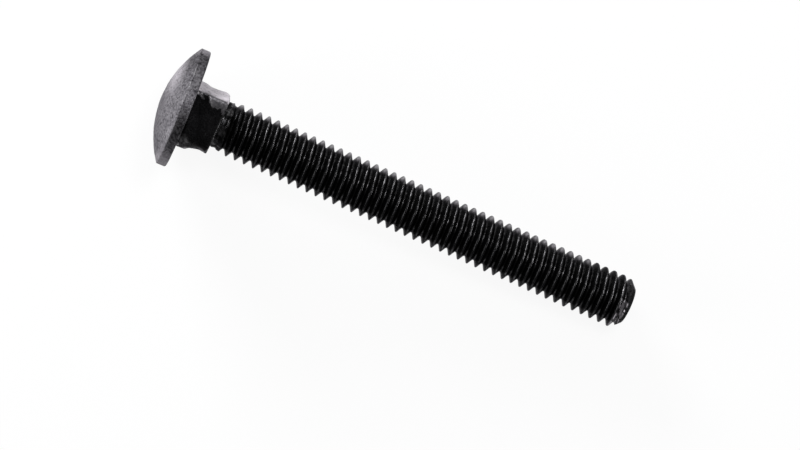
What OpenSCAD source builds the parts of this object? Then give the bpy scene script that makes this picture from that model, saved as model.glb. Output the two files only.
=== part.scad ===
/*
  Carriage bolt: a low domed round head with a straight rim, a square neck
  under it, and a shank with a rolled right-hand thread that runs from the
  neck to the bevelled end. It lies as it comes to rest, on the rim of the
  head and on the last full turn of the thread: the floor is z = 0, the head
  points to -X and the end to +X. Sizes are in millimetres.
*/

/* [Head] */
// Diameter of the head
head_d = 17.6; // [16.8:0.1:18.4]
// Height of the head, from its bearing face to the top of the dome
head_h = 4.2; // [3.7:0.1:4.8]
// Height of the straight rim under the dome
rim_h = 1.4; // [1:0.1:1.8]
// Rounding of the edge between the rim and the bearing face
rim_round = 0.25; // [0.1:0.05:0.4]

/* [Square neck] */
// Width of the neck across its flats
neck_w = 8.1; // [7.9:0.05:8.4]
// Depth of the neck, from the bearing face to the shank
neck_h = 4.75; // [4:0.05:5]
// Rounding of the four corners of the neck
corner_r = 0.8; // [0.4:0.1:1.2]
// Fillet between the neck and the bearing face
fillet_r = 0.7; // [0.3:0.1:0.9]
// Bevel of the corners at the shank end of the neck
neck_bevel = 0.35; // [0.2:0.05:0.5]
// Turn of the neck's flats about the axis, from where the thread starts, in degrees
neck_turn = 4; // [-45:1:45]

/* [Threaded shank] */
// Length under the head, from the bearing face to the end
bolt_len = 69.85; // [57.15:6.35:76.2]
// Outside diameter of the thread
thread_d = 7.85; // [7.6:0.05:7.95]
// Threads to the inch
threads_per_inch = 18; // [16:2:20]
// Length of plain blank between the neck and the run-out of the thread
blank_len = 0.6; // [0.3:0.1:1]
// Length over which the thread rises to its full height
runout_len = 2.1; // [1.6:0.1:3]
// Radius taken off the thread by the bevel of the end
end_bevel = 1.2; // [0.9:0.1:1.3]

/* [Resting on the floor] */
// Turn of the bolt about its own axis as it comes to rest, in degrees
rest_turn = 7; // [0:1:45]

/* [Hidden] */
$fn = 96;

head_r = head_d / 2;
dome_h = head_h - rim_h;
dome_r = (head_r * head_r + dome_h * dome_h) / (2 * dome_h);

// centre of a corner's rounding, and the neck's largest radius
corner_at = neck_w / 2 - corner_r;
corner_reach = norm([corner_at, corner_at]) + corner_r;
// depth to which the neck and its fillet run on into the head
sunk = rim_h / 2;

pitch = 25.4 / threads_per_inch;
thread_r = thread_d / 2;
thread_depth = 0.6134 * pitch;
flank_len = thread_depth * tan(30);
crest_len = pitch / 8;
root_len = pitch - crest_len - 2 * flank_len;
root_r = thread_r - thread_depth;
// the blank has the pitch radius, which rolling lowers to the root and raises to the crest
blank_r = thread_r - 0.3248 * pitch;
blank_end = neck_h + blank_len;
end_r = thread_r - end_bevel;
// radius clear of the crests
clear_r = 1.1 * thread_r;

// [height along the axis, radius] of the four lines that make one pitch
outline = [
    [0, root_r],
    [root_len, root_r],
    [root_len + flank_len, thread_r],
    [root_len + flank_len + crest_len, thread_r]
];
steps = 24;
// where the bolt lies on the last crest, the bevel takes a quarter of the crest's width
crest_stop = bolt_len - end_bevel - outline[3][0] + crest_len / 4 + pitch * rest_turn / 360;
// turns from the plain blank to the bevel, and two more that the bevel and the end cut off
turn_count = 2 + ceil((crest_stop - blank_end + pitch) / pitch);
thread_start = crest_stop - (turn_count - 2) * pitch;

// The bolt tips over its rim until the last full turn of the thread lies down too.
rest_run = bolt_len - end_bevel + rim_round;
rest_drop = head_r - rim_round - thread_r;
rest_tilt = atan2(rest_drop, rest_run)
    + asin(rim_round / norm([rest_run, rest_drop]));
rest_height = (head_r - rim_round) * cos(rest_tilt) + rim_round * (1 - sin(rest_tilt));
// reach of the dome and of the end along the floor, from the bearing face's centre
dome_reach = dome_r - (dome_r - head_h) * cos(rest_tilt);
end_reach = bolt_len * cos(rest_tilt) + end_r * sin(rest_tilt);

module head() {
    translate([0, 0, -head_h]) intersection() {
        translate([0, 0, dome_r]) sphere(dome_r);
        rotate_extrude() {
            square([head_r, head_h - rim_round]);
            square([head_r - rim_round, head_h]);
            translate([head_r - rim_round, head_h - rim_round]) circle(rim_round);
        }
    }
}

module neck_section() {
    square([neck_w, 2 * corner_at], center = true);
    square([2 * corner_at, neck_w], center = true);
    for (x = [-corner_at, corner_at], y = [-corner_at, corner_at])
        translate([x, y]) circle(corner_r);
}

// Section of the fillet, from inside the neck outwards and from inside the head up
module fillet_section() {
    difference() {
        translate([-corner_r / 2, -sunk]) square([corner_r / 2 + fillet_r, sunk + fillet_r]);
        translate([fillet_r, fillet_r]) circle(fillet_r);
    }
}

module neck_fillet() {
    for (side = [0:3]) rotate(90 * side) {
        translate([neck_w / 2, corner_at, 0]) rotate([90, 0, 0])
            linear_extrude(2 * corner_at) fillet_section();
        translate([corner_at, corner_at, 0]) rotate_extrude()
            translate([corner_r, 0]) fillet_section();
    }
}

module neck() {
    cone_r = corner_reach - neck_bevel;
    translate([0, 0, -sunk]) intersection() {
        linear_extrude(sunk + neck_h) neck_section();
        cylinder(h = sunk + neck_h, r1 = cone_r + sunk + neck_h, r2 = cone_r);
    }
    neck_fillet();
}

// Point s steps along line j of the thread
function thread_point(s, j) = [
    outline[j][1] * cos(360 * s / steps),
    outline[j][1] * sin(360 * s / steps),
    thread_start + pitch * s / steps + outline[j][0]
];

// The thread as one closed body: four lines a pitch, each turn joined to the next
module thread_body() {
    last = turn_count * steps;
    // line 0 runs one turn further than the others
    first = [0, for (j = [0:3]) last + steps + 1 + j * (last + 1)];
    function at(s, j) = j == 4 ? s + steps : first[j] + s;
    bottom = first[4];
    top = bottom + 1;
    points = [
        for (s = [0:last + steps]) thread_point(s, 0),
        for (j = [1:3], s = [0:last]) thread_point(s, j),
        [0, 0, thread_start],
        [0, 0, thread_start + (turn_count + 1) * pitch + root_len]
    ];
    flanks = [
        for (s = [0:last - 1], j = [0:3]) each [
            [at(s, j), at(s, j + 1), at(s + 1, j + 1)],
            [at(s, j), at(s + 1, j + 1), at(s + 1, j)]
        ]
    ];
    ends = [
        for (s = [0:steps - 1]) each [
            [bottom, s, s + 1],
            [top, last + s + 1, last + s]
        ],
        for (j = [0:3]) each [
            [bottom, at(0, j + 1), at(0, j)],
            [top, at(last, j), at(last, j + 1)]
        ]
    ];
    polyhedron(points, concat(flanks, ends), convexity = 4);
}

// Room for the thread: it rises beside the neck and is bevelled at the end
module thread_room() {
    rise = (clear_r - blank_r) / (thread_r - blank_r);
    rotate_extrude() polygon([
        [0, neck_h / 2],
        [blank_r, neck_h / 2],
        [blank_r, blank_end],
        [clear_r, blank_end + rise * runout_len],
        [clear_r, bolt_len + end_r - clear_r],
        [end_r, bolt_len],
        [0, bolt_len]
    ]);
}

// Core that fills the grooves where the thread runs out
module runout() {
    rotate_extrude() polygon([
        [0, neck_h / 2],
        [blank_r, neck_h / 2],
        [blank_r, blank_end],
        [0.95 * root_r, blank_end + runout_len],
        [0, blank_end + runout_len]
    ]);
}

// The whole bolt with its bearing face at z = 0 and its end upwards
module upright_bolt() {
    head();
    rotate(neck_turn) neck();
    runout();
    intersection() {
        thread_body();
        thread_room();
    }
}

module carriage_bolt() {
    color([0.17, 0.17, 0.18])
        translate([(dome_reach - end_reach) / 2, 0, rest_height])
            rotate([0, 90 + rest_tilt, 0]) rotate(rest_turn) upright_bolt();
}

carriage_bolt();
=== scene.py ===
"""Carriage bolt on a pale studio floor: forged head and square neck, rolled thread, black oxide finish."""

import logging
import math
from dataclasses import dataclass, field
from enum import Enum
from functools import cached_property

import bmesh
import bpy
import numpy as np
from mathutils import Matrix, Vector, noise


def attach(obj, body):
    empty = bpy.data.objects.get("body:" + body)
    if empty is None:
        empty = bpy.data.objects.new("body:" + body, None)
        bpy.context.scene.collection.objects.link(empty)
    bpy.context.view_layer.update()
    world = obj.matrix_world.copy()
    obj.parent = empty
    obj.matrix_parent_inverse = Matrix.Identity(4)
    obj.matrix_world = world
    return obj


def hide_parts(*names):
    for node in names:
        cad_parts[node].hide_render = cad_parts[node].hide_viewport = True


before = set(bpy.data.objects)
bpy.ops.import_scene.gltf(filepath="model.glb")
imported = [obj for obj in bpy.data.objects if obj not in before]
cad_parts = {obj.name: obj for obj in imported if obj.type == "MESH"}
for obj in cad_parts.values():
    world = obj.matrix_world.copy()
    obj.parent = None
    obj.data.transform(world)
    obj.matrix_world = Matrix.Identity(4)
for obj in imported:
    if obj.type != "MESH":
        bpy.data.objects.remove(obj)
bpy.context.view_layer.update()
LOG = logging.getLogger("carriage_bolt")
MM = 0.001


def linear(code: str) -> tuple[float, float, float, float]:
    """Turns an sRGB hex colour into the linear values that a shader takes.

    Args:
        code: The colour as "#rrggbb".

    Returns:
        Red, green, blue and an alpha of one.
    """
    parts = [int(code[i:i + 2], 16) / 255 for i in (1, 3, 5)]
    return (*[c / 12.92 if c <= 0.04045 else ((c + 0.055) / 1.055) ** 2.4 for c in parts], 1.0)


def add_node(tree: bpy.types.NodeTree, kind: str, settings: dict | None = None,
             links: dict | None = None) -> bpy.types.Node:
    """Adds one node to a tree.

    Args:
        tree: The shader or geometry tree.
        kind: The node's type name.
        settings: The node's own properties by name.
        links: Each input, by name or number, with the socket that feeds it or the value it is set to.

    Returns:
        The new node.
    """
    made = tree.nodes.new(kind)
    for name, value in (settings or {}).items():
        setattr(made, name, value)
    for key, source in (links or {}).items():
        if isinstance(source, bpy.types.NodeSocket):
            tree.links.new(source, made.inputs[key])
        else:
            made.inputs[key].default_value = source
    return made


def smooth(x: np.ndarray, low: float, high: float) -> np.ndarray:
    """Rises smoothly from 0 at low to 1 at high.

    Args:
        x: The values to place on the rise.
        low: The value where the rise starts.
        high: The value where it ends, which may be below low.

    Returns:
        The height of the rise at each value.
    """
    t = np.clip((x - low) / (high - low), 0, 1)
    return t * t * (3 - 2 * t)


def bump(x: np.ndarray, middle: float, half: float) -> np.ndarray:
    """Gives a bell that is 1 at its middle and has faded at twice its half width."""
    return np.exp(-((x - middle) / half) ** 2)


def grain(points: np.ndarray, size: float, shift: float, octaves: int = 3) -> np.ndarray:
    """Evaluates seeded noise at points of the bolt.

    Args:
        points: Positions in millimetres, one a row.
        size: Size of the largest unevenness, in millimetres.
        shift: Offset that makes this noise differ from the others.
        octaves: How many finer layers are added.

    Returns:
        A value of about -1 to 1 for each point.
    """
    places = points / size + shift
    return np.array([noise.fractal(p, 0.6, 2.1, octaves) for p in places])


@dataclass(frozen=True)
class BoltSizes:
    """Sizes of the solid, in millimetres and degrees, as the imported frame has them."""

    head_d: float = 17.6
    head_h: float = 4.2
    rim_h: float = 1.4
    rim_round: float = 0.25
    neck_w: float = 8.1
    neck_h: float = 4.75
    corner_r: float = 0.8
    fillet_r: float = 0.7
    neck_bevel: float = 0.35
    bolt_len: float = 69.85
    thread_d: float = 7.85
    threads_per_inch: float = 18
    blank_len: float = 0.6
    runout_len: float = 2.1
    end_bevel: float = 1.2
    neck_turn: float = 4
    rest_turn: float = 7
    # shares of the pitch: the thread's depth, and from the crests in to the pitch line
    depth_share: float = 0.6134
    pitch_line_share: float = 0.3248

    @property
    def head_r(self) -> float:
        """Radius of the head."""
        return self.head_d / 2

    @property
    def thread_r(self) -> float:
        """Radius over the crests."""
        return self.thread_d / 2

    @property
    def dome_r(self) -> float:
        """Radius of the sphere that the dome is a part of."""
        dome_h = self.head_h - self.rim_h
        return (self.head_r ** 2 + dome_h ** 2) / (2 * dome_h)

    @property
    def neck_angle(self) -> float:
        """Angle of the neck's flats as the bolt lies, from straight down towards +Y."""
        return self.rest_turn + self.neck_turn

    @property
    def pitch(self) -> float:
        """Distance from one crest to the next."""
        return 25.4 / self.threads_per_inch

    @property
    def thread_depth(self) -> float:
        """Depth of the grooves."""
        return self.depth_share * self.pitch

    @property
    def root_r(self) -> float:
        """Radius at the bottom of the grooves."""
        return self.thread_r - self.thread_depth

    @property
    def blank_r(self) -> float:
        """Radius of the plain part beside the neck."""
        return self.thread_r - self.pitch_line_share * self.pitch

    @property
    def blank_end(self) -> float:
        """Height at which the plain part ends."""
        return self.neck_h + self.blank_len

    @property
    def join(self) -> float:
        """Height on the plain part at which the forged and the rolled mesh meet."""
        return self.neck_h + self.blank_len / 2

    @property
    def end_r(self) -> float:
        """Radius of the flat end."""
        return self.thread_r - self.end_bevel

    def placement(self) -> Matrix:
        """Gives the transform from the upright bolt in millimetres to where it lies in metres.

        Returns:
            The matrix, with the bearing face's centre as the upright bolt's origin.
        """
        run = self.bolt_len - self.end_bevel + self.rim_round
        drop = self.head_r - self.rim_round - self.thread_r
        tilt = math.atan2(drop, run) + math.asin(self.rim_round / math.hypot(run, drop))
        height = (self.head_r - self.rim_round) * math.cos(tilt) + self.rim_round * (1 - math.sin(tilt))
        dome_reach = self.dome_r - (self.dome_r - self.head_h) * math.cos(tilt)
        end_reach = self.bolt_len * math.cos(tilt) + self.end_r * math.sin(tilt)
        lie = Matrix.Translation(((dome_reach - end_reach) / 2, 0, height))
        return Matrix.Scale(MM, 4) @ lie @ Matrix.Rotation(math.pi / 2 + tilt, 4, "Y")


@dataclass(frozen=True)
class Columns:
    """The lines along the bolt that the forged and the rolled mesh share, crowded at the neck's corners."""

    count: int = 128
    crowding: float = 0.62
    turn: float = 11

    def angles(self) -> np.ndarray:
        """Angles of the columns about the axis, in radians, from straight down towards +Y."""
        even = np.arange(self.count) * 2 * math.pi / self.count
        return even + self.crowding / 4 * np.sin(4 * even) + math.radians(self.turn)


@dataclass
class RolledThread:
    """The threaded shank: a helix made by Geometry Nodes from one profile that repeats every pitch."""

    sizes: BoltSizes
    columns: Columns
    # where each row of a pitch stands: share of the pitch, share of the thread's height
    profile: tuple[tuple[float, float], ...] = (
        (0.0, 0.03), (0.083, 0.0), (0.167, 0.03), (0.285, 0.333), (0.403, 0.667), (0.486, 0.9),
        (0.525, 0.975), (0.583, 1.0), (0.642, 0.975), (0.681, 0.9), (0.764, 0.667), (0.882, 0.333))
    crest_end: float = 0.6458
    end_rings: float = 0.9

    def inputs(self) -> dict[str, float]:
        """Gives the tree's named inputs.

        Returns:
            Each input's name with its value, in millimetres, radians or counts.
        """
        s = self.sizes
        turn = math.radians(self.columns.turn)
        # the bevel takes a quarter of the last crest's width where the bolt lies on it, straight down
        crest_stop = s.bolt_len - s.end_bevel - (self.crest_end - 1 / 32) * s.pitch
        below = math.ceil((crest_stop - s.join) / s.pitch + 1 + self.columns.turn / 360)
        above = math.ceil((s.bolt_len - crest_stop) / s.pitch + self.end_rings + 0.2)
        return {
            "Columns": self.columns.count, "Rows in a pitch": len(self.profile),
            "Turns": below + above, "Pitch": s.pitch, "First root": crest_stop - below * s.pitch,
            "Turn": turn, "Crowding": self.columns.crowding / 4, "Root radius": s.root_r,
            "Depth": s.thread_depth, "Blank radius": s.blank_r, "Crest radius": s.thread_r,
            "Blank end": s.blank_end, "Run-out end": s.blank_end + s.runout_len,
            "Fill radius": 0.95 * s.root_r, "Join": s.join, "Length": s.bolt_len, "End radius": s.end_r,
            "End step": 0.12 * s.pitch, "End rings": self.end_rings * s.pitch,
        }

    def tree(self, material: bpy.types.Material) -> bpy.types.NodeTree:
        """Builds the node tree of the thread.

        Args:
            material: The finish that the tree's last node sets.

        Returns:
            The geometry tree, with its sizes as named inputs.
        """
        made = bpy.data.node_groups.new("rolled_thread", "GeometryNodeTree")
        whole = {"Columns", "Rows in a pitch", "Turns"}
        for name in self.inputs():
            made.interface.new_socket(name, in_out="INPUT",
                                      socket_type="NodeSocketInt" if name in whole else "NodeSocketFloat")
        made.interface.new_socket("Mesh", in_out="OUTPUT", socket_type="NodeSocketGeometry")
        given = add_node(made, "NodeGroupInput")
        known: dict[str, bpy.types.NodeSocket | float] = {s.name: s for s in given.outputs if s.name}
        known["index"] = add_node(made, "GeometryNodeInputIndex").outputs[0]

        def work(steps: tuple[tuple, ...]) -> None:
            """Adds a chain of Math nodes, where each step is its name, its operation and what it takes."""
            for name, operation, *terms in steps:
                links = {i: known[t] if isinstance(t, str) else t for i, t in enumerate(terms)}
                known[name] = add_node(made, "ShaderNodeMath", {"operation": operation}, links).outputs[0]

        def ramp(name: str, low: str, high: str, start: str, end: str) -> None:
            """Adds a radius that goes from start to end between two heights along the axis."""
            known[name] = add_node(made, "ShaderNodeMapRange", {"clamp": True}, {
                "Value": known["height"], "From Min": known[low], "From Max": known[high],
                "To Min": known[start], "To Max": known[end]}).outputs[0]

        work((("rows", "MULTIPLY", "Turns", "Rows in a pitch"), ("across", "ADD", "Columns", 1.0)))
        grid = add_node(made, "GeometryNodeMeshGrid", None, {
            "Size X": 1.0, "Size Y": 1.0, "Vertices X": known["across"], "Vertices Y": known["rows"]})
        work((
            ("i", "ADD", "index", 0.5), ("i/rows", "DIVIDE", "i", "rows"), ("column", "FLOOR", "i/rows"),
            ("passed", "MULTIPLY", "column", "rows"), ("row", "SUBTRACT", "index", "passed"),
            ("share", "DIVIDE", "column", "Columns"), ("even", "MULTIPLY", "share", 2 * math.pi),
            ("four", "MULTIPLY", "even", 4.0), ("wave", "SINE", "four"),
            ("pull", "MULTIPLY", "wave", "Crowding"), ("round", "ADD", "even", "pull"),
            ("angle", "ADD", "round", "Turn"), ("lead", "DIVIDE", "angle", 2 * math.pi),
            ("half row", "ADD", "row", 0.5), ("row/pitch", "DIVIDE", "half row", "Rows in a pitch"),
            ("whole", "FLOOR", "row/pitch"), ("done", "MULTIPLY", "whole", "Rows in a pitch"),
            ("left", "SUBTRACT", "row", "done"), ("part", "DIVIDE", "left", "Rows in a pitch"),
        ))
        for name, axis in (("run", 0), ("rise", 1)):
            curve = add_node(made, "ShaderNodeFloatCurve", None, {"Value": known["part"]})
            line = curve.mapping.curves[0]
            curve.mapping.clip_min_y, curve.mapping.use_clip = -1.0, False
            rows = [(i / len(self.profile), p[axis]) for i, p in enumerate(self.profile)]
            rows.append((1.0, 1.0 - axis))
            for _ in rows[2:]:
                line.points.new(0.5, 0.5)
            for point, place in zip(line.points, rows):
                point.location, point.handle_type = place, "VECTOR"
            curve.mapping.update()
            known[name] = curve.outputs[0]
        work((
            ("up", "ADD", "whole", "run"), ("turns up", "ADD", "up", "lead"),
            ("climb", "MULTIPLY", "turns up", "Pitch"), ("free", "ADD", "climb", "First root"),
            ("under", "MINIMUM", "free", "Length"), ("height", "MAXIMUM", "under", "Join"),
            ("tall", "MULTIPLY", "rise", "Depth"), ("full", "ADD", "tall", "Root radius"),
        ))
        ramp("room", "Blank end", "Run-out end", "Blank radius", "Crest radius")
        ramp("fill", "Blank end", "Run-out end", "Blank radius", "Fill radius")
        work((
            ("cut", "MINIMUM", "full", "room"), ("filled", "MAXIMUM", "cut", "fill"),
            ("left over", "SUBTRACT", "Length", "height"), ("bevel", "ADD", "left over", "End radius"),
            ("body", "MINIMUM", "filled", "bevel"),
            ("beyond", "SUBTRACT", "free", "Length"), ("past", "SUBTRACT", "beyond", "End step"),
            ("inward", "DIVIDE", "past", "End rings"), ("shrink", "SUBTRACT", 1.0, "inward"),
            ("most", "MINIMUM", "shrink", 1.0), ("least", "MAXIMUM", "most", 0.0),
            ("radius", "MULTIPLY", "body", "least"), ("cos", "COSINE", "angle"), ("sin", "SINE", "angle"),
            ("x", "MULTIPLY", "cos", "radius"), ("y", "MULTIPLY", "sin", "radius"),
        ))
        place = add_node(made, "ShaderNodeCombineXYZ", None,
                         {"X": known["x"], "Y": known["y"], "Z": known["height"]})
        wound = add_node(made, "GeometryNodeSetPosition", None,
                         {"Geometry": grid.outputs[0], "Position": place.outputs[0]})
        closed = add_node(made, "GeometryNodeMergeByDistance", None,
                          {"Geometry": wound.outputs[0], "Distance": 1e-4})
        real = add_node(made, "GeometryNodeRealizeInstances", None, {"Geometry": closed.outputs[0]})
        dressed = add_node(made, "GeometryNodeSetMaterial", None,
                           {"Geometry": real.outputs[0], "Material": material})
        add_node(made, "NodeGroupOutput", None, {"Mesh": dressed.outputs[0]})
        return made

    def build(self, material: bpy.types.Material) -> bpy.types.Mesh:
        """Runs the tree and turns its result into a plain mesh.

        Args:
            material: The finish of the thread.

        Returns:
            The thread as an open tube in millimetres, closed at its end and open towards the neck.
        """
        holder = bpy.data.objects.new("thread_maker", bpy.data.meshes.new("thread_maker"))
        bpy.context.scene.collection.objects.link(holder)
        modifier = holder.modifiers.new("thread", "NODES")
        group = self.tree(material)
        values = self.inputs()
        sockets = {item.name: item.identifier for item in group.interface.items_tree
                   if item.item_type == "SOCKET" and item.in_out == "INPUT"}
        modifier.node_group = group
        for name, value in values.items():
            modifier[sockets[name]] = value
        graph = bpy.context.evaluated_depsgraph_get()
        mesh = bpy.data.meshes.new_from_object(holder.evaluated_get(graph))
        holder.modifiers.remove(modifier)
        bpy.data.objects.remove(holder)
        return mesh


@dataclass
class ForgedHead:
    """The head, the square neck and the plain start of the shank, as rings from the dome's top down."""

    sizes: BoltSizes
    columns: Columns
    dome_edge: float = 0.16
    neck_edge: float = 0.12

    def outline(self) -> tuple[np.ndarray, np.ndarray]:
        """Gives the radius of the square neck, and of its bevelled top, in each column.

        Returns:
            The neck's radius and the largest radius that its corner bevel leaves.
        """
        s = self.sizes
        a = self.columns.angles() - math.radians(self.columns.turn)
        a = (a + math.pi / 4) % (math.pi / 2) - math.pi / 4
        flat = s.neck_w / 2 / np.cos(a)
        at = s.neck_w / 2 - s.corner_r
        across = at * (np.cos(a) + np.abs(np.sin(a)))
        corner = across + np.sqrt(np.maximum(across ** 2 - 2 * at ** 2 + s.corner_r ** 2, 0))
        on_flat = np.abs(np.tan(a)) * s.neck_w / 2 <= at
        return np.where(on_flat, flat, corner), np.full(len(a), math.hypot(at, at) + s.corner_r)

    def rings(self) -> list[tuple[np.ndarray, np.ndarray]]:
        """Lists the rings of the forged part.

        Returns:
            The radius and the height of each column in each ring, from the dome's top down.
        """
        s = self.sizes
        n = self.columns.count
        neck, reach = self.outline()
        rings: list[tuple[np.ndarray, np.ndarray]] = []

        def ring(radius: float | np.ndarray, height: float | np.ndarray) -> None:
            """Adds one ring."""
            rings.append(tuple(np.broadcast_to(value, n).astype(float) for value in (radius, height)))

        # the rounding that joins the dome to the rim, inside both
        e = self.dome_edge
        centre_z = -s.head_h + s.dome_r
        edge_r = s.head_r - e
        edge_z = centre_z - math.sqrt((s.dome_r - e) ** 2 - edge_r ** 2)
        meet = math.asin(edge_r / (s.dome_r - e))
        for t in np.linspace(0.02, 1, 30) ** 0.85:
            ring(s.dome_r * math.sin(meet * t), centre_z - s.dome_r * math.cos(meet * t))
        for t in np.linspace(0.25, 1, 4):
            turn = meet + (math.pi / 2 - meet) * t
            ring(edge_r + e * math.sin(turn), edge_z - e * math.cos(turn))
        for t in np.linspace(0.2, 1, 5):
            ring(s.head_r, edge_z + (-s.rim_round - edge_z) * t)
        for t in np.linspace(0.25, 1, 4):
            turn = math.pi / 2 * t
            ring(s.head_r - s.rim_round * (1 - math.cos(turn)), -s.rim_round * (1 - math.sin(turn)))
        outer, inner = s.head_r - s.rim_round, neck + s.fillet_r
        for t in np.linspace(1 / 7, 1, 7):
            ring(outer + (inner - outer) * t, 0)
        for t in np.linspace(1 / 6, 1, 6):
            turn = math.pi / 2 * t
            ring(inner - s.fillet_r * math.sin(turn), s.fillet_r * (1 - math.cos(turn)))
        top = s.neck_h - self.neck_edge
        for z in np.linspace(s.fillet_r, top, 19)[1:]:
            ring(np.minimum(neck, reach - s.neck_bevel + s.neck_h - z), z)
        rim = np.minimum(neck, reach - s.neck_bevel)
        for t in (0.5, 1):
            turn = math.pi / 2 * t
            ring(rim - self.neck_edge * (1 - math.cos(turn)), top + self.neck_edge * math.sin(turn))
        for t in (0.35, 0.7, 0.9):
            ring(rim - self.neck_edge + (s.blank_r + 0.08 - rim + self.neck_edge) * t, s.neck_h)
        ring(s.blank_r + 0.03, s.neck_h + 0.03)
        ring(s.blank_r, s.neck_h + 0.1)
        ring(s.blank_r, s.join)
        return rings

    def build(self) -> tuple[np.ndarray, list[tuple[int, ...]]]:
        """Makes the forged part's points and faces.

        Returns:
            Points in millimetres, and faces as lists of point numbers, open only at the join.
        """
        n = self.columns.count
        angles = self.columns.angles()
        rings = self.rings()
        points = [np.array([[0.0, 0.0, -self.sizes.head_h]])]
        points += [np.stack([r * np.cos(angles), r * np.sin(angles), z], axis=1) for r, z in rings]
        faces: list[tuple[int, ...]] = [(0, 1 + (i + 1) % n, 1 + i) for i in range(n)]
        for k in range(len(rings) - 1):
            a, b = 1 + k * n, 1 + (k + 1) * n
            faces += [(a + i, a + (i + 1) % n, b + (i + 1) % n, b + i) for i in range(n)]
        return np.concatenate(points), faces


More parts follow.
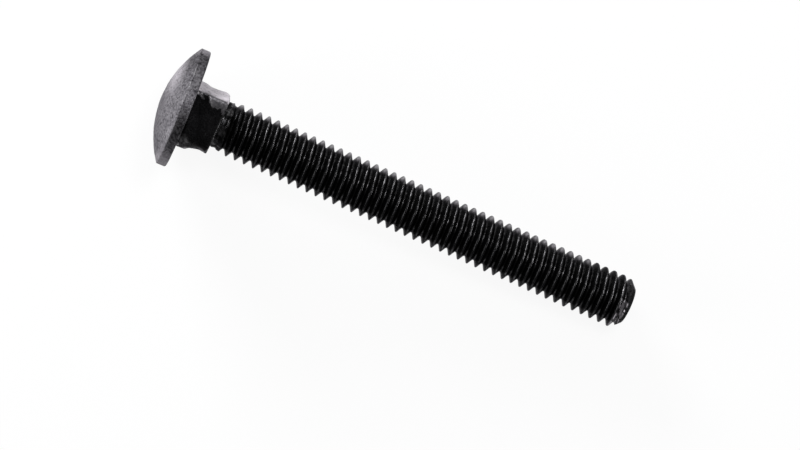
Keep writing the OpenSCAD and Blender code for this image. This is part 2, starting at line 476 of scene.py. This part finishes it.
@dataclass(frozen=True)
class BlackOxideSteel:
    """Black oxide over forged and rolled carbon steel.

    The hot dip turns the skin of the metal to magnetite: the eye sees near-black metal with a satin
    gloss on the rolled thread, a greyer and duller scale on the forged head, and light steel where
    edges have rubbed through. Painted highlights ride on the rubbed and pale shares, and painted
    shade on the soot share.
    """

    rolled: str = "#0e0e0f"
    rolled_light: str = "#242425"
    forged: str = "#454348"
    forged_light: str = "#7f7d81"
    pale_and_painted_light: str = "#bdb8be"
    soot_and_painted_shade: str = "#080808"
    rubbed_and_painted_highlight: str = "#8b8a8c"
    edge: str = "#a3a2a4"
    rolled_rough: float = 0.27
    forged_rough: float = 0.55
    # sizes in millimetres
    scale_patch: float = 1.7
    speck: float = 0.34
    pit: float = 0.42
    scratch: float = 0.22
    rub: float = 0.5
    bump_height: float = 0.05

    def build(self) -> bpy.types.Material:
        """Makes the finish.

        Returns:
            The material, which reads Object coordinates and the bolt's own wear attributes.
        """
        material = bpy.data.materials.new("black_oxide_steel_forged_and_rolled")
        material.use_nodes = True
        tree = material.node_tree
        tree.nodes.clear()
        coords = add_node(tree, "ShaderNodeTexCoord").outputs["Object"]
        read = {name: add_node(tree, "ShaderNodeAttribute", {"attribute_name": name}).outputs["Fac"]
                for name in ("forged", "rubbed_and_painted_highlight", "soot_and_painted_shade", "pale_and_painted_light", "scale")}

        def pattern(size: float, detail: float, rough: float) -> bpy.types.NodeSocket:
            """Gives noise whose unevenness is that many millimetres across."""
            return add_node(tree, "ShaderNodeTexNoise", None, {
                "Vector": coords, "Scale": 1 / (size * MM), "Detail": detail,
                "Roughness": rough}).outputs["Fac"]

        def level(source: bpy.types.NodeSocket, low: float, high: float, start: float = 0.0,
                  end: float = 1.0) -> bpy.types.NodeSocket:
            """Spreads a range of a pattern over another range, clamped at its ends."""
            return add_node(tree, "ShaderNodeMapRange", {"clamp": True}, {
                "Value": source, "From Min": low, "From Max": high,
                "To Min": start, "To Max": end}).outputs[0]

        def combine(operation: str, a: bpy.types.NodeSocket | float,
                    b: bpy.types.NodeSocket | float) -> bpy.types.NodeSocket:
            """Adds, multiplies or compares two values, clamped unless one is taken off the other."""
            settings = {"operation": operation, "use_clamp": operation != "SUBTRACT"}
            return add_node(tree, "ShaderNodeMath", settings, {0: a, 1: b}).outputs[0]

        def blend(share: bpy.types.NodeSocket, a: bpy.types.NodeSocket | tuple,
                  b: bpy.types.NodeSocket | tuple) -> bpy.types.NodeSocket:
            """Mixes two colours."""
            made = add_node(tree, "ShaderNodeMix", {"data_type": "RGBA"}, {0: share})
            for index, colour in ((6, a), (7, b)):
                if isinstance(colour, tuple):
                    made.inputs[index].default_value = colour
                else:
                    tree.links.new(colour, made.inputs[index])
            return made.outputs[2]

        patches = pattern(self.scale_patch, 5, 0.65)
        specks = pattern(self.speck, 3, 0.6)
        holes = pattern(self.pit, 1, 0.5)
        fine = pattern(self.scratch, 4, 0.7)
        rubs = pattern(self.rub, 3, 0.6)
        # scale that flowed over a corner, with a border broken up by the specks
        border = combine("ADD", read["scale"], level(specks, 0.35, 0.65, 0, 0.24))
        crust = combine("MULTIPLY", level(border, 0.59, 0.65), 0.54)
        forged = combine("MAXIMUM", read["forged"], crust)
        pale_and_painted_light = combine("ADD", read["pale_and_painted_light"], combine("MULTIPLY", crust, 0.08))
        mottle = combine("ADD", level(patches, 0.35, 0.65, 0, 0.5), level(specks, 0.4, 0.6, 0, 0.5))
        pits = combine("MULTIPLY", level(holes, 0.38, 0.33), forged)
        skin = blend(level(fine, 0.4, 0.68), linear(self.rolled), linear(self.rolled_light))
        scaled = blend(mottle, linear(self.forged), linear(self.forged_light))
        base = blend(forged, skin, scaled)
        base = blend(pale_and_painted_light, base, linear(self.pale_and_painted_light))
        base = blend(combine("MULTIPLY", pits, 0.5), base, linear(self.soot_and_painted_shade))
        # soot and painted shade darken the base, broken up by the specks
        soot_and_shade_share = combine("MULTIPLY", read["soot_and_painted_shade"], level(specks, 0.3, 0.6, 1.0, 0.55))
        base = blend(soot_and_shade_share, base, linear(self.soot_and_painted_shade))
        # bare metal and painted highlights lighten the base
        bare_and_painted_highlight = combine("MULTIPLY", read["rubbed_and_painted_highlight"], level(rubs, 0.38, 0.62, 0.15, 1.0))
        base = blend(bare_and_painted_highlight, base, linear(self.rubbed_and_painted_highlight))
        # where a thick pale scale or painted light covers the steel, it shines less like metal
        metal = level(pale_and_painted_light, 0, 1, 0.9, 0.3)
        rough = level(forged, 0, 1, self.rolled_rough, self.forged_rough)
        rough = combine("ADD", rough, level(fine, 0.3, 0.7, -0.06, 0.08))
        height = combine("ADD", level(fine, 0.2, 0.8, 0, 0.25), level(specks, 0.3, 0.7, 0, 0.5))
        height = combine("SUBTRACT", height, combine("MULTIPLY", pits, 0.8))
        relief = add_node(tree, "ShaderNodeBump", None, {
            "Strength": level(forged, 0, 1, 0.25, 0.7), "Distance": self.bump_height * MM,
            "Height": height})
        steel = add_node(tree, "ShaderNodeBsdfPrincipled", None, {
            "Base Color": base, "Roughness": rough, "Metallic": metal, "Specular Tint": linear(self.edge),
            "Normal": relief.outputs[0]})
        add_node(tree, "ShaderNodeOutputMaterial", None, {"Surface": steel.outputs[0]})
        return material


# where something lies on the bolt: its middle and its half width
Place = tuple[float, float]


@dataclass
class Skin:
    """The upright bolt's points in millimetres, with the zones and the noise that wear follows."""

    sizes: BoltSizes
    points: np.ndarray

    def uneven(self, there: np.ndarray, size: float, shift: float, octaves: int = 3,
               stretch: tuple[float, float, float] = (1.0, 1.0, 1.0)) -> np.ndarray:
        """Evaluates seeded noise on some of the points.

        Args:
            there: Which points have it. The others get zero.
            size: Size of the largest unevenness, in millimetres.
            shift: Offset that makes this noise differ from the others.
            octaves: How many finer layers are added.
            stretch: Factor for each axis, below one where the unevenness is drawn out.

        Returns:
            A value of about -1 to 1 for each point.
        """
        values = np.zeros(len(self.points))
        values[there] = grain(self.points[there] * stretch, size, shift, octaves)
        return values

    def outwards(self, amount: np.ndarray) -> np.ndarray:
        """Gives the step across the axis that moves each point outwards by that many millimetres."""
        across = self.points[:, :2] / np.maximum(self.radius, 1e-6)[:, None]
        return across * amount[:, None]

    @cached_property
    def z(self) -> np.ndarray:
        """Height along the axis, from the bearing face towards the end."""
        return self.points[:, 2]

    @cached_property
    def radius(self) -> np.ndarray:
        """Distance from the axis."""
        return np.hypot(self.points[:, 0], self.points[:, 1])

    @cached_property
    def angle(self) -> np.ndarray:
        """Degrees from the middle of the neck's lower flat: its corners are at 45, 135, 225 and 315."""
        turned = np.degrees(np.arctan2(self.points[:, 1], self.points[:, 0]))
        return (turned - self.sizes.neck_angle) % 360

    @cached_property
    def forged(self) -> np.ndarray:
        """Whether a point belongs to the forged part."""
        return self.z < self.sizes.neck_h + 0.05

    @cached_property
    def rough(self) -> np.ndarray:
        """Broad unevenness of the forging."""
        return self.uneven(self.forged, 2.6, 11.3)

    @cached_property
    def wavy(self) -> np.ndarray:
        """Waves along the neck, drawn out round it."""
        return self.uneven(self.forged, 1.5, 4.7, stretch=(0.35, 0.35, 1.0))

    @cached_property
    def fine(self) -> np.ndarray:
        """Fine unevenness of the forging."""
        return self.uneven(self.forged, 0.8, 31.9, 2)

    @cached_property
    def folds(self) -> np.ndarray:
        """Narrow folds that run along the axis."""
        return self.uneven(self.forged, 0.55, 57.1, 2, stretch=(1.0, 1.0, 0.22))

    @cached_property
    def dents(self) -> np.ndarray:
        """Knocks on the rolled part."""
        return self.uneven(~self.forged, 0.9, 23.1, 2)

    @cached_property
    def head(self) -> np.ndarray:
        """The head, fading just past the bearing face."""
        return smooth(self.z, 0.3, -0.1)

    @cached_property
    def outer(self) -> np.ndarray:
        """All that lies wider than the shank, up to the neck's shoulder."""
        wide = smooth(self.radius, self.sizes.blank_r + 0.15, self.sizes.blank_r + 0.5)
        return wide * (self.z < self.sizes.neck_h + 0.01)

    @cached_property
    def side(self) -> np.ndarray:
        """The neck's sides, from the fillet up."""
        return smooth(self.z, 0.0, 0.6) * self.outer

    @cached_property
    def neck(self) -> np.ndarray:
        """The neck's sides without their upper edge."""
        return self.side * smooth(self.z, self.sizes.neck_h + 0.02, self.sizes.neck_h - 0.3)

    @cached_property
    def dome(self) -> np.ndarray:
        """The dome above the rim."""
        return smooth(self.z, -self.sizes.rim_h + 0.1, -self.sizes.rim_h - 0.3)

    @cached_property
    def rim(self) -> np.ndarray:
        """The outermost millimetre of the head."""
        return smooth(self.radius, self.sizes.head_r - 1.2, self.sizes.head_r - 0.5) * self.head

    @cached_property
    def crest(self) -> np.ndarray:
        """Share of the thread's height: 0 in the roots and 1 on the crests."""
        height = (self.radius - self.sizes.root_r) / self.sizes.thread_depth
        return np.clip(height, 0, 1) * (self.z > self.sizes.blank_end)

    def rim_step(self) -> np.ndarray:
        """The small step that the trimming of the rim left."""
        return bump(self.angle, 104, 1.7) * self.rim

    def fold_line(self, half: float) -> np.ndarray:
        """The edge of the scale that flowed over the upper corner, that many degrees to each side."""
        slanted = bump(self.angle, 122 + 9.6 * self.z, half)
        return slanted * smooth(self.z, 1.7, 1.9) * smooth(self.z, 3.0, 2.8)


@dataclass
class Forging:
    """What the dies and later knocks did to the shape, in millimetres and degrees."""

    skin: Skin
    # unevenness of each zone
    dome_rough: float = 0.045
    dome_fine: float = 0.02
    neck_wavy: float = 0.13
    neck_fine: float = 0.03
    neck_shrink: float = 0.01
    rim_rough: float = 0.02
    # folds along the upper side, where the metal flowed into the die
    folds_at: Place = (90, 34)
    folds_depth: float = 0.09
    neck_swell: float = 0.2
    # the dies met a little twisted, off the shank's axis and out of square
    head_lean: float = 2.1
    neck_offset: float = -0.1
    neck_twist: float = -3.0
    # hollow in the corner that stands against the light
    hollow_at: Place = (45, 24)
    hollow_depth: float = 0.17
    # flash that the dies left along the lower front corner, next to the head, and the nip above it
    flash_at: Place = (227, 20)
    flash_width: float = 0.55
    nip_half: float = 14
    nip_depth: float = 0.1
    lip_height: float = 0.1
    # step and ledge that the trimming of the rim left
    step_depth: float = 0.16
    ledge_height: float = 0.05
    # ridges where the thread starts, and dents in its crests
    ridge_height: float = 0.05
    dent_depth: float = 0.06

    @cached_property
    def moved(self) -> np.ndarray:
        """The points that the steps below move, which start as the skin's own."""
        return self.skin.points.copy()

    def shape(self) -> np.ndarray:
        """Moves the points to where the forging and the knocks left them.

        Returns:
            The moved points, in millimetres.
        """
        for step in (self.roughen, self.misalign, self.mark_corners, self.trim_rim, self.mark_thread):
            step()
        return self.moved

    def roughen(self) -> None:
        """Makes the dome, the rim and the neck's sides uneven."""
        skin, moved = self.skin, self.moved
        moved[:, 2] += skin.dome * (self.dome_rough * skin.rough + self.dome_fine * skin.fine)
        flats = self.neck_wavy * skin.wavy + self.neck_fine * skin.fine - self.neck_shrink
        moved[:, :2] += skin.outwards(skin.side * flats + self.rim_rough * skin.rim * (skin.rough - 0.5))
        upper = bump(skin.angle, *self.folds_at) * skin.side
        moved[:, :2] += skin.outwards(self.folds_depth * skin.folds * upper + self.neck_swell * skin.side)

    def misalign(self) -> None:
        """Twists the neck, sets it off the axis and leans the head."""
        skin, moved = self.skin, self.moved
        twist = np.radians(self.neck_twist) * skin.side
        cos, sin = np.cos(twist), np.sin(twist)
        x, y = moved[:, 0].copy(), moved[:, 1].copy()
        moved[:, 0] = x * cos - y * sin
        moved[:, 1] = x * sin + y * cos
        moved[:, 1] += self.neck_offset * skin.side
        moved[:, 2] -= skin.points[:, 1] * math.radians(self.head_lean) * smooth(skin.z, 0.8, 0.0)

    def mark_corners(self) -> None:
        """Shapes the neck's corners: a hollow, flash with a nip above it, and a lip of scale."""
        skin, moved = self.skin, self.moved
        z = skin.z
        hollow = self.hollow_depth * bump(z, 2.75, 0.9) - 0.08 * bump(z, 0.7, 0.6) + 0.08 * skin.folds
        moved[:, 1] -= hollow * bump(skin.angle, *self.hollow_at) * skin.side
        flash = smooth(z, 3.1, 0.5) * smooth(z, 0.0, 0.2) * bump(skin.angle, *self.flash_at) * skin.outer
        moved[:, 1] -= self.flash_width * flash * (1 + 0.4 * skin.rough + 0.5 * skin.fine)
        nip = bump(z, 3.6, 0.6) * bump(skin.angle, self.flash_at[0], self.nip_half)
        moved[:, 1] += self.nip_depth * nip * skin.neck
        moved[:, :2] += skin.outwards(self.lip_height * skin.fold_line(1.6) * skin.outer)

    def trim_rim(self) -> None:
        """Cuts the step into the rim and leaves the ledge beside it."""
        skin, moved = self.skin, self.moved
        ledge = smooth(skin.angle, 70, 80) * smooth(skin.angle, 104, 101) * skin.rim
        moved[:, :2] += skin.outwards(self.ledge_height * ledge - self.step_depth * skin.rim_step())

    def mark_thread(self) -> None:
        """Raises faint ridges where the thread starts and dents its crests."""
        skin, moved = self.skin, self.moved
        s = skin.sizes
        ridges = bump(skin.z, s.blank_end - 0.15, 0.1) + bump(skin.z, s.blank_end + 0.35, 0.1)
        ridges = ridges * (1 + skin.dents) * (skin.radius < s.blank_r + 0.3)
        moved[:, :2] += skin.outwards(self.ridge_height * ridges)
        dented = smooth(skin.crest, 0.85, 1.0) * smooth(skin.dents, 0.2, 0.7)
        moved[:, :2] -= skin.outwards(self.dent_depth * dented)


@dataclass
class WearAndPaintedLight:
    """Where the finish has rubbed, flaked or darkened, and where light and shade are painted on, as a share
    from 0 to 1 at each point.

    A place round the axis is in degrees from the neck's lower flat.
    """

    skin: Skin
    # the thread: a painted highlight on the tips facing the light, crests rubbed and with painted
    # highlight, and streaks at the end painted as glints
    tip_highlight_at: Place = (93, 12.5)
    crest_highlight_at: Place = (84, 20)
    duller_at: Place = (138, 9)
    streaks_at: Place = (195, 42)
    streak_rises: tuple[float, ...] = (-0.5, -0.15, 0.15, 0.45)
    streak_half: float = 0.1
    # the neck: flash at the lower corner, dark front, and painted shade below the upper corner
    edge_at: Place = (226, 18)
    flecks_at: Place = (233, 9)
    front_at: Place = (182, 36)
    corner_shade_at: Place = (142, 5)
    # the rim: grime, a light gap in its painted shade, a foot painted lighter, and two nicks
    grime_at: Place = (196, 22)
    gap_at: Place = (162, 14)
    foot_at: Place = (244, 22)
    nicks_at: tuple[Place, ...] = ((141, 12), (109, 3))
    # the dome: a painted highlight in a ring, and painted shade towards the rim and across the middle
    dome_highlight_at: Place = (112, 48)
    dome_highlight_ring: Place = (4.6, 2.2)
    dark_at: Place = (108, 42)
    dim_at: Place = (165, 24)

    def shares(self) -> dict[str, np.ndarray]:
        """Gives each attribute that the finish reads, by name."""
        return {"forged": self.forged, "rubbed_and_painted_highlight": self.rubbed_and_painted_highlight, "soot_and_painted_shade": self.soot_and_painted_shade, "pale_and_painted_light": self.pale_and_painted_light,
                "scale": self.scale}

    @cached_property
    def painted_tip_highlight(self) -> np.ndarray:
        """Painted highlight on the flanks that face the light, fading before the end."""
        skin = self.skin
        length = skin.sizes.bolt_len
        fading = smooth(skin.z, length - 6.3, length - 9)
        return bump(skin.angle, *self.tip_highlight_at) * smooth(skin.crest, 0.2, 0.8) * fading

    @cached_property
    def edge(self) -> np.ndarray:
        """The lower front corner, which is bare on its flash."""
        skin = self.skin
        start = 209 + 9 * smooth(skin.z, 0.8, 2.2)
        edge = smooth(skin.angle, start, start + 4) * bump(skin.angle, *self.edge_at)
        return edge * skin.outer * smooth(skin.z, 0.0, 0.2) * (0.75 + 0.25 * smooth(skin.z, 3.1, 0.5))

    @cached_property
    def strip(self) -> np.ndarray:
        """The upper flat, from corner to corner, painted pale: partly pale scale, partly painted light
        standing for the white floor's reflection.
        """
        skin = self.skin
        across = smooth(skin.angle, 40, 50) * smooth(skin.angle, 137, 135)
        return skin.outer * smooth(skin.z, -0.05, 0.1) * across

    @cached_property
    def lip(self) -> np.ndarray:
        """The two thin bright lines where scale flowed over the upper corner."""
        skin = self.skin
        foot = bump(skin.angle, 138 + 5 * skin.z, 1.2) * smooth(skin.z, 0.1, 0.3) * smooth(skin.z, 1.3, 1.1)
        return (foot + skin.fold_line(1.3)) * skin.outer

    @cached_property
    def forged(self) -> np.ndarray:
        """The grey scale of the forging."""
        skin = self.skin
        front = skin.neck * bump(skin.angle, *self.front_at)
        head = skin.head * smooth(skin.z, 0.35, -0.02)
        return np.clip(head + 0.15 * self.edge + 0.8 * self.strip + 0.06 * front, 0, 1)

    @cached_property
    def rubbed_and_painted_highlight(self) -> np.ndarray:
        """Bare metal on crests, the end, the shoulder, the corners and the nicks, with painted highlights
        on the crests' upper side and the tips, and a painted reflection in the roots.
        """
        skin = self.skin
        s = skin.sizes
        z, angle, crest, dents = skin.z, skin.angle, skin.crest, skin.dents
        near_end = smooth(z, s.bolt_len - 5.5, s.bolt_len - 1.0)
        end = bump(z, s.bolt_len - s.end_bevel + 0.02, 0.24) * smooth(skin.radius, s.end_r, s.end_r + 0.6)
        shoulder = bump(z, s.neck_h, 0.12) * (skin.radius > s.blank_r + 0.2)
        root = bump(crest, 0.0, 0.06) * (z > s.blank_end + s.runout_len) * (z < s.bolt_len - 0.9)
        # the crests are rubbed unevenly along the bolt; round it, a painted highlight is added on the upper
        # side and taken off the lower side and a dimmer band
        below = smooth(angle, 170, 186) * smooth(angle, 222, 208)
        crest_wear_and_highlight = 0.27 + 0.3 * dents + 0.4 * near_end
        crest_wear_and_highlight = crest_wear_and_highlight * (1 - 0.8 * below - 0.3 * bump(angle, *self.duller_at))
        crest_wear_and_highlight = crest_wear_and_highlight + 0.3 * bump(angle, *self.crest_highlight_at)
        rubbed_and_painted_highlight = crest_wear_and_highlight * smooth(crest, 0.94, 1.0) + 0.8 * self.painted_tip_highlight + 0.4 * end + 0.5 * shoulder
        # painted reflection in the roots, left off the lower side
        rubbed_and_painted_highlight = rubbed_and_painted_highlight + 0.19 * root * (1 - below)
        rubbed_and_painted_highlight = rubbed_and_painted_highlight + 0.3 * bump(z, s.blank_end, 0.9) * (dents > 0.05) * (z > s.neck_h)
        nicks = sum(bump(angle, *place) for place in self.nicks_at)
        nicks = bump(z, -s.rim_h, 0.16) * skin.rim * nicks * smooth(skin.fine, 0, 0.3)
        corner = 0.7 * self.lip + (0.2 + 0.8 * smooth(z, 3.4, 1.0)) * self.edge
        return np.clip(rubbed_and_painted_highlight + corner + 0.5 * nicks, 0, 1)

    @cached_property
    def pale_and_painted_light(self) -> np.ndarray:
        """Scale so light that it hides the metal, and light streaks, with painted light on top: a highlight
        on the dome, a lighter foot and cap on the rim, glints on the end's streaks, the tips' highlight and
        the floor's reflection on the upper flat.
        """
        skin = self.skin
        s = skin.sizes
        angle = skin.angle
        # painted highlight on the dome's upper side
        painted_dome_highlight = skin.dome * bump(skin.radius, *self.dome_highlight_ring) * bump(angle, *self.dome_highlight_at)
        # painted light on the rim's foot and on its cap
        foot = bump(angle, *self.foot_at) + 0.7 * smooth(angle, 102, 98) * smooth(angle, 60, 80)
        bevel = s.bolt_len - s.end_bevel
        # the end's wear streaks are painted as bright glints
        lines = sum(bump(skin.z, bevel + rise, self.streak_half) for rise in self.streak_rises)
        streaks = lines * bump(angle, *self.streaks_at) * smooth(skin.dents, -0.05, 0.08)
        flecks = self.edge * bump(angle, *self.flecks_at) * smooth(skin.fine, 0.0, 0.25)
        # the upper flat's pale scale also carries the white floor's reflection, painted in
        pale_and_painted_light = (0.88 - 0.3 * skin.folds) * self.strip + 0.36 * painted_dome_highlight + 0.25 * skin.rim * foot
        pale_and_painted_light = pale_and_painted_light + streaks * (skin.radius > s.end_r + 0.3) + 0.45 * flecks
        return np.clip(pale_and_painted_light + 0.4 * self.lip + 0.35 * self.painted_tip_highlight, 0, 1)

    @cached_property
    def scale(self) -> np.ndarray:
        """Scale that flowed over the upper corner: its border is where this crosses a half."""
        skin = self.skin
        z, angle = skin.z, skin.angle
        low = (152 - angle - 6 * skin.wavy - 3 * skin.fine) / 12
        near = np.maximum((z - 2.0 + 0.3 * skin.fine) / 0.8, (138 - angle) / 8)
        patch = np.minimum(np.minimum(low, near), (angle - 122) / 8) + 0.5
        patch = np.minimum(patch, (skin.sizes.neck_h + 0.1 - z) / 0.4)
        patch = np.clip(patch, 0, 1) * skin.outer * (z > 0.02)
        return np.maximum(patch, 0.48 * self.edge)

    @cached_property
    def soot_and_painted_shade(self) -> np.ndarray:
        """Dark places: painted shade under the head, in the rim's step, on the rim and on the dome towards
        it, and grime on the rim.
        """
        skin = self.skin
        s = skin.sizes
        z, angle = skin.z, skin.angle
        # painted shade under the head, in the corner beside the neck, and below the upper corner
        under = smooth(z, -0.35, 0.05) * (skin.radius < s.head_r - 0.4) * (z < 0.3) * (1 - self.strip)
        under = under + bump(angle, *self.corner_shade_at) * bump(z, 1.4, 0.6) * skin.outer
        grime = bump(angle, *self.grime_at) * skin.rim * smooth(z, -1.5, -0.9)
        # painted shade on the rim, left off a light gap and off the cap
        shade = smooth(skin.radius, s.head_r - 0.3, s.head_r - 0.1) * skin.head * smooth(angle, 225, 185)
        shade = shade * (0.36 + 0.55 * smooth(angle, 150, 100)) * (1 - 0.9 * bump(angle, *self.gap_at))
        shade = shade * smooth(angle, 99, 103)
        # painted shade on the dome towards the rim, and a little across its middle
        shade = shade + 0.8 * smooth(skin.radius, 5.4, 7.6) * skin.dome * bump(angle, *self.dark_at)
        shade = shade + 0.12 * skin.dome * bump(angle, *self.dim_at)
        # painted shade along the edge between dome and rim
        shade = shade + 0.6 * bump(z, -s.rim_h, 0.1) * skin.rim * smooth(angle, 200, 150)
        # painted shade in the rim's step; the grime is dirt
        return np.clip(0.7 * skin.rim_step() + 0.8 * under + 0.85 * grime + shade, 0, 1)


@dataclass
class CarriageBolt:
    """The whole bolt as one closed mesh, worn as it has been handled, with light and shade painted into its
    finish.
    """

    sizes: BoltSizes = field(default_factory=BoltSizes)
    finish: BlackOxideSteel = field(default_factory=BlackOxideSteel)
    # degrees between two faces past which their edge is drawn sharp
    sharp_angle: float = 65
    # distance in millimetres within which the forged and the rolled mesh are joined
    merge: float = 2e-3

    def build(self) -> bpy.types.Object:
        """Makes the bolt.

        Returns:
            The finished object, at the origin, with its place in its mesh.
        """
        material = self.finish.build()
        columns = Columns(turn=self.sizes.neck_angle)
        thread = RolledThread(self.sizes, columns).build(material)
        points, faces = ForgedHead(self.sizes, columns).build()
        LOG.info("rolled thread: %d points", len(thread.vertices))
        whole = bmesh.new()
        whole.from_mesh(thread)
        bpy.data.meshes.remove(thread)
        spots = [whole.verts.new(p) for p in points]
        for numbers in faces:
            whole.faces.new([spots[i] for i in numbers])
        bmesh.ops.remove_doubles(whole, verts=whole.verts, dist=self.merge)
        bmesh.ops.dissolve_degenerate(whole, edges=whole.edges, dist=1e-5)
        loose = [e for e in whole.edges if not e.link_faces]
        bmesh.ops.delete(whole, geom=loose, context="EDGES")
        bmesh.ops.recalc_face_normals(whole, faces=whole.faces)
        open_edges = sum(1 for e in whole.edges if len(e.link_faces) != 2)
        LOG.info("bolt: %d faces, %d edges without two faces", len(whole.faces), open_edges)
        mesh = bpy.data.meshes.new("bolt")
        whole.to_mesh(mesh)
        whole.free()
        flat = np.empty(len(mesh.vertices) * 3, np.float32)
        mesh.vertices.foreach_get("co", flat)
        skin = Skin(self.sizes, flat.reshape(-1, 3).astype(float))
        mesh.vertices.foreach_set("co", Forging(skin).shape().astype(np.float32).ravel())
        for name, share in WearAndPaintedLight(skin).shares().items():
            mesh.attributes.new(name, "FLOAT", "POINT").data.foreach_set("value", share.astype(np.float32))
        mesh.transform(self.sizes.placement())
        mesh.materials.clear()
        mesh.materials.append(material)
        mesh.polygons.foreach_set("material_index", np.zeros(len(mesh.polygons), np.int32))
        mesh.shade_smooth()
        mesh.set_sharp_from_angle(angle=math.radians(self.sharp_angle))
        mesh.update()
        piece = bpy.data.objects.new("bolt", mesh)
        bpy.context.scene.collection.objects.link(piece)
        return piece


class Lamp(Enum):
    """The soft lamps: name, place, size and power, in metres and watts."""

    KEY = ("key", (-0.38, 0.32, 0.10), 0.22, 5.2)
    LEFT = ("left", (-0.44, -0.20, 0.12), 0.24, 1.8)
    TOP = ("top", (0.06, 0.44, 0.20), 0.26, 0.25)
    OVER = ("over", (0.04, 0.15, 0.42), 0.12, 0.8)
    RIGHT = ("right", (0.42, 0.04, 0.06), 0.10, 0.7)


@dataclass
class Studio:
    """The pale floor, the lamps, the surroundings and the camera."""

    floor_colour: str = "#efeff0"
    floor_half: float = 3.0
    # how far the floor is seen as plain white by the camera and in reflections
    floor_glow: float = 0.9
    # strength of the surroundings that light the metal
    surroundings: float = 0.16
    # height at which the lamps are aimed, in metres
    aim_height: float = 0.004
    # metres from the camera to the middle of the picture
    camera_distance: float = 0.45
    # degrees from straight above, towards +X and towards +Y
    camera_lean: tuple[float, float] = (-2.9, 0.0)
    pixels_per_mm: float = 6.94
    # degrees that the bolt slopes down across the picture
    photo_turn: float = 23.95
    # the point in the middle of the picture, in millimetres
    centre: tuple[float, float, float] = (1.68, -2.73, 6.5)
    image_width: float = 800
    sensor: float = 36.0

    def floor(self) -> bpy.types.Object:
        """Makes the floor: painted board, matt and nearly white, which keeps the bolt's soft shadow."""
        mesh = bpy.data.meshes.new("floor")
        half = self.floor_half
        mesh.from_pydata([(-half, -half, 0), (half, -half, 0), (half, half, 0), (-half, half, 0)], [],
                         [(0, 1, 2, 3)])
        material = bpy.data.materials.new("white_painted_board")
        material.use_nodes = True
        tree = material.node_tree
        tree.nodes.clear()
        path = add_node(tree, "ShaderNodeLightPath")
        seen = add_node(tree, "ShaderNodeMath", {"operation": "MAXIMUM"}, {
            0: path.outputs["Is Camera Ray"], 1: path.outputs["Is Glossy Ray"]})
        share = add_node(tree, "ShaderNodeMath", {"operation": "MULTIPLY"}, {
            0: seen.outputs[0], 1: self.floor_glow})
        board = add_node(tree, "ShaderNodeBsdfPrincipled", None, {
            "Base Color": linear(self.floor_colour), "Roughness": 0.9, "Specular IOR Level": 0.1})
        glow = add_node(tree, "ShaderNodeEmission", None, {"Color": (1, 1, 1, 1), "Strength": 1.0})
        mixed = add_node(tree, "ShaderNodeMixShader", None, {
            0: share.outputs[0], 1: board.outputs[0], 2: glow.outputs[0]})
        add_node(tree, "ShaderNodeOutputMaterial", None, {"Surface": mixed.outputs[0]})
        mesh.materials.append(material)
        board_object = bpy.data.objects.new("floor", mesh)
        bpy.context.scene.collection.objects.link(board_object)
        return board_object

    def lamps(self) -> None:
        """Adds the soft lamps, aimed at the bolt."""
        for name, place, size, power in (lamp.value for lamp in Lamp):
            data = bpy.data.lights.new(name, "AREA")
            data.shape, data.size, data.energy = "SQUARE", size, power
            lamp = bpy.data.objects.new(name, data)
            lamp.location = place
            aim = Vector((0, 0, self.aim_height)) - Vector(place)
            lamp.rotation_euler = aim.to_track_quat("-Z", "Y").to_euler()
            bpy.context.scene.collection.objects.link(lamp)

    def world(self) -> None:
        """Sets the surroundings: dim for the metal, white where the camera would see past the floor."""
        world = bpy.data.worlds.new("studio")
        bpy.context.scene.world = world
        world.use_nodes = True
        tree = world.node_tree
        tree.nodes.clear()
        path = add_node(tree, "ShaderNodeLightPath")
        dim = add_node(tree, "ShaderNodeBackground", None, {
            "Color": (1, 1, 1, 1), "Strength": self.surroundings})
        white = add_node(tree, "ShaderNodeBackground", None, {"Color": (1, 1, 1, 1), "Strength": 1.0})
        mixed = add_node(tree, "ShaderNodeMixShader", None, {
            0: path.outputs["Is Camera Ray"], 1: dim.outputs[0], 2: white.outputs[0]})
        add_node(tree, "ShaderNodeOutputWorld", None, {"Surface": mixed.outputs[0]})

    def camera(self) -> bpy.types.Object:
        """Adds the camera above the lying bolt, turned so that the bolt slopes across the picture.

        Returns:
            The scene's camera.
        """
        data = bpy.data.cameras.new("camera")
        data.sensor_width = self.sensor
        data.lens = self.sensor * self.camera_distance * self.pixels_per_mm / MM / self.image_width
        data.clip_start, data.clip_end = 0.01, 20
        lean = [math.tan(math.radians(a)) for a in self.camera_lean]
        back = Vector((*lean, 1)).normalized()
        turn = math.radians(self.photo_turn)
        right = Vector((math.cos(turn), math.sin(turn), 0))
        right = (right - right.dot(back) * back).normalized()
        axes = Matrix((right, back.cross(right), back)).transposed()
        seen = bpy.data.objects.new("camera", data)
        place = Vector(self.centre) * MM + back * self.camera_distance
        seen.matrix_world = Matrix.Translation(place) @ axes.to_4x4()
        bpy.context.scene.collection.objects.link(seen)
        bpy.context.scene.camera = seen
        return seen


def main() -> None:
    """Builds the bolt and the studio, and says which piece stands for which solid."""
    logging.basicConfig(level=logging.INFO, format="%(name)s: %(message)s")
    bpy.context.scene.view_settings.view_transform = "Standard"
    bolt = CarriageBolt()
    piece = bolt.build()
    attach(piece, "root")
    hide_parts("carriage_bolt")
    LOG.info("%s: %d triangles", piece.name, sum(len(p.vertices) - 2 for p in piece.data.polygons))
    studio = Studio()
    studio.floor()
    studio.lamps()
    studio.world()
    studio.camera()


if __name__ == "__main__":
    main()
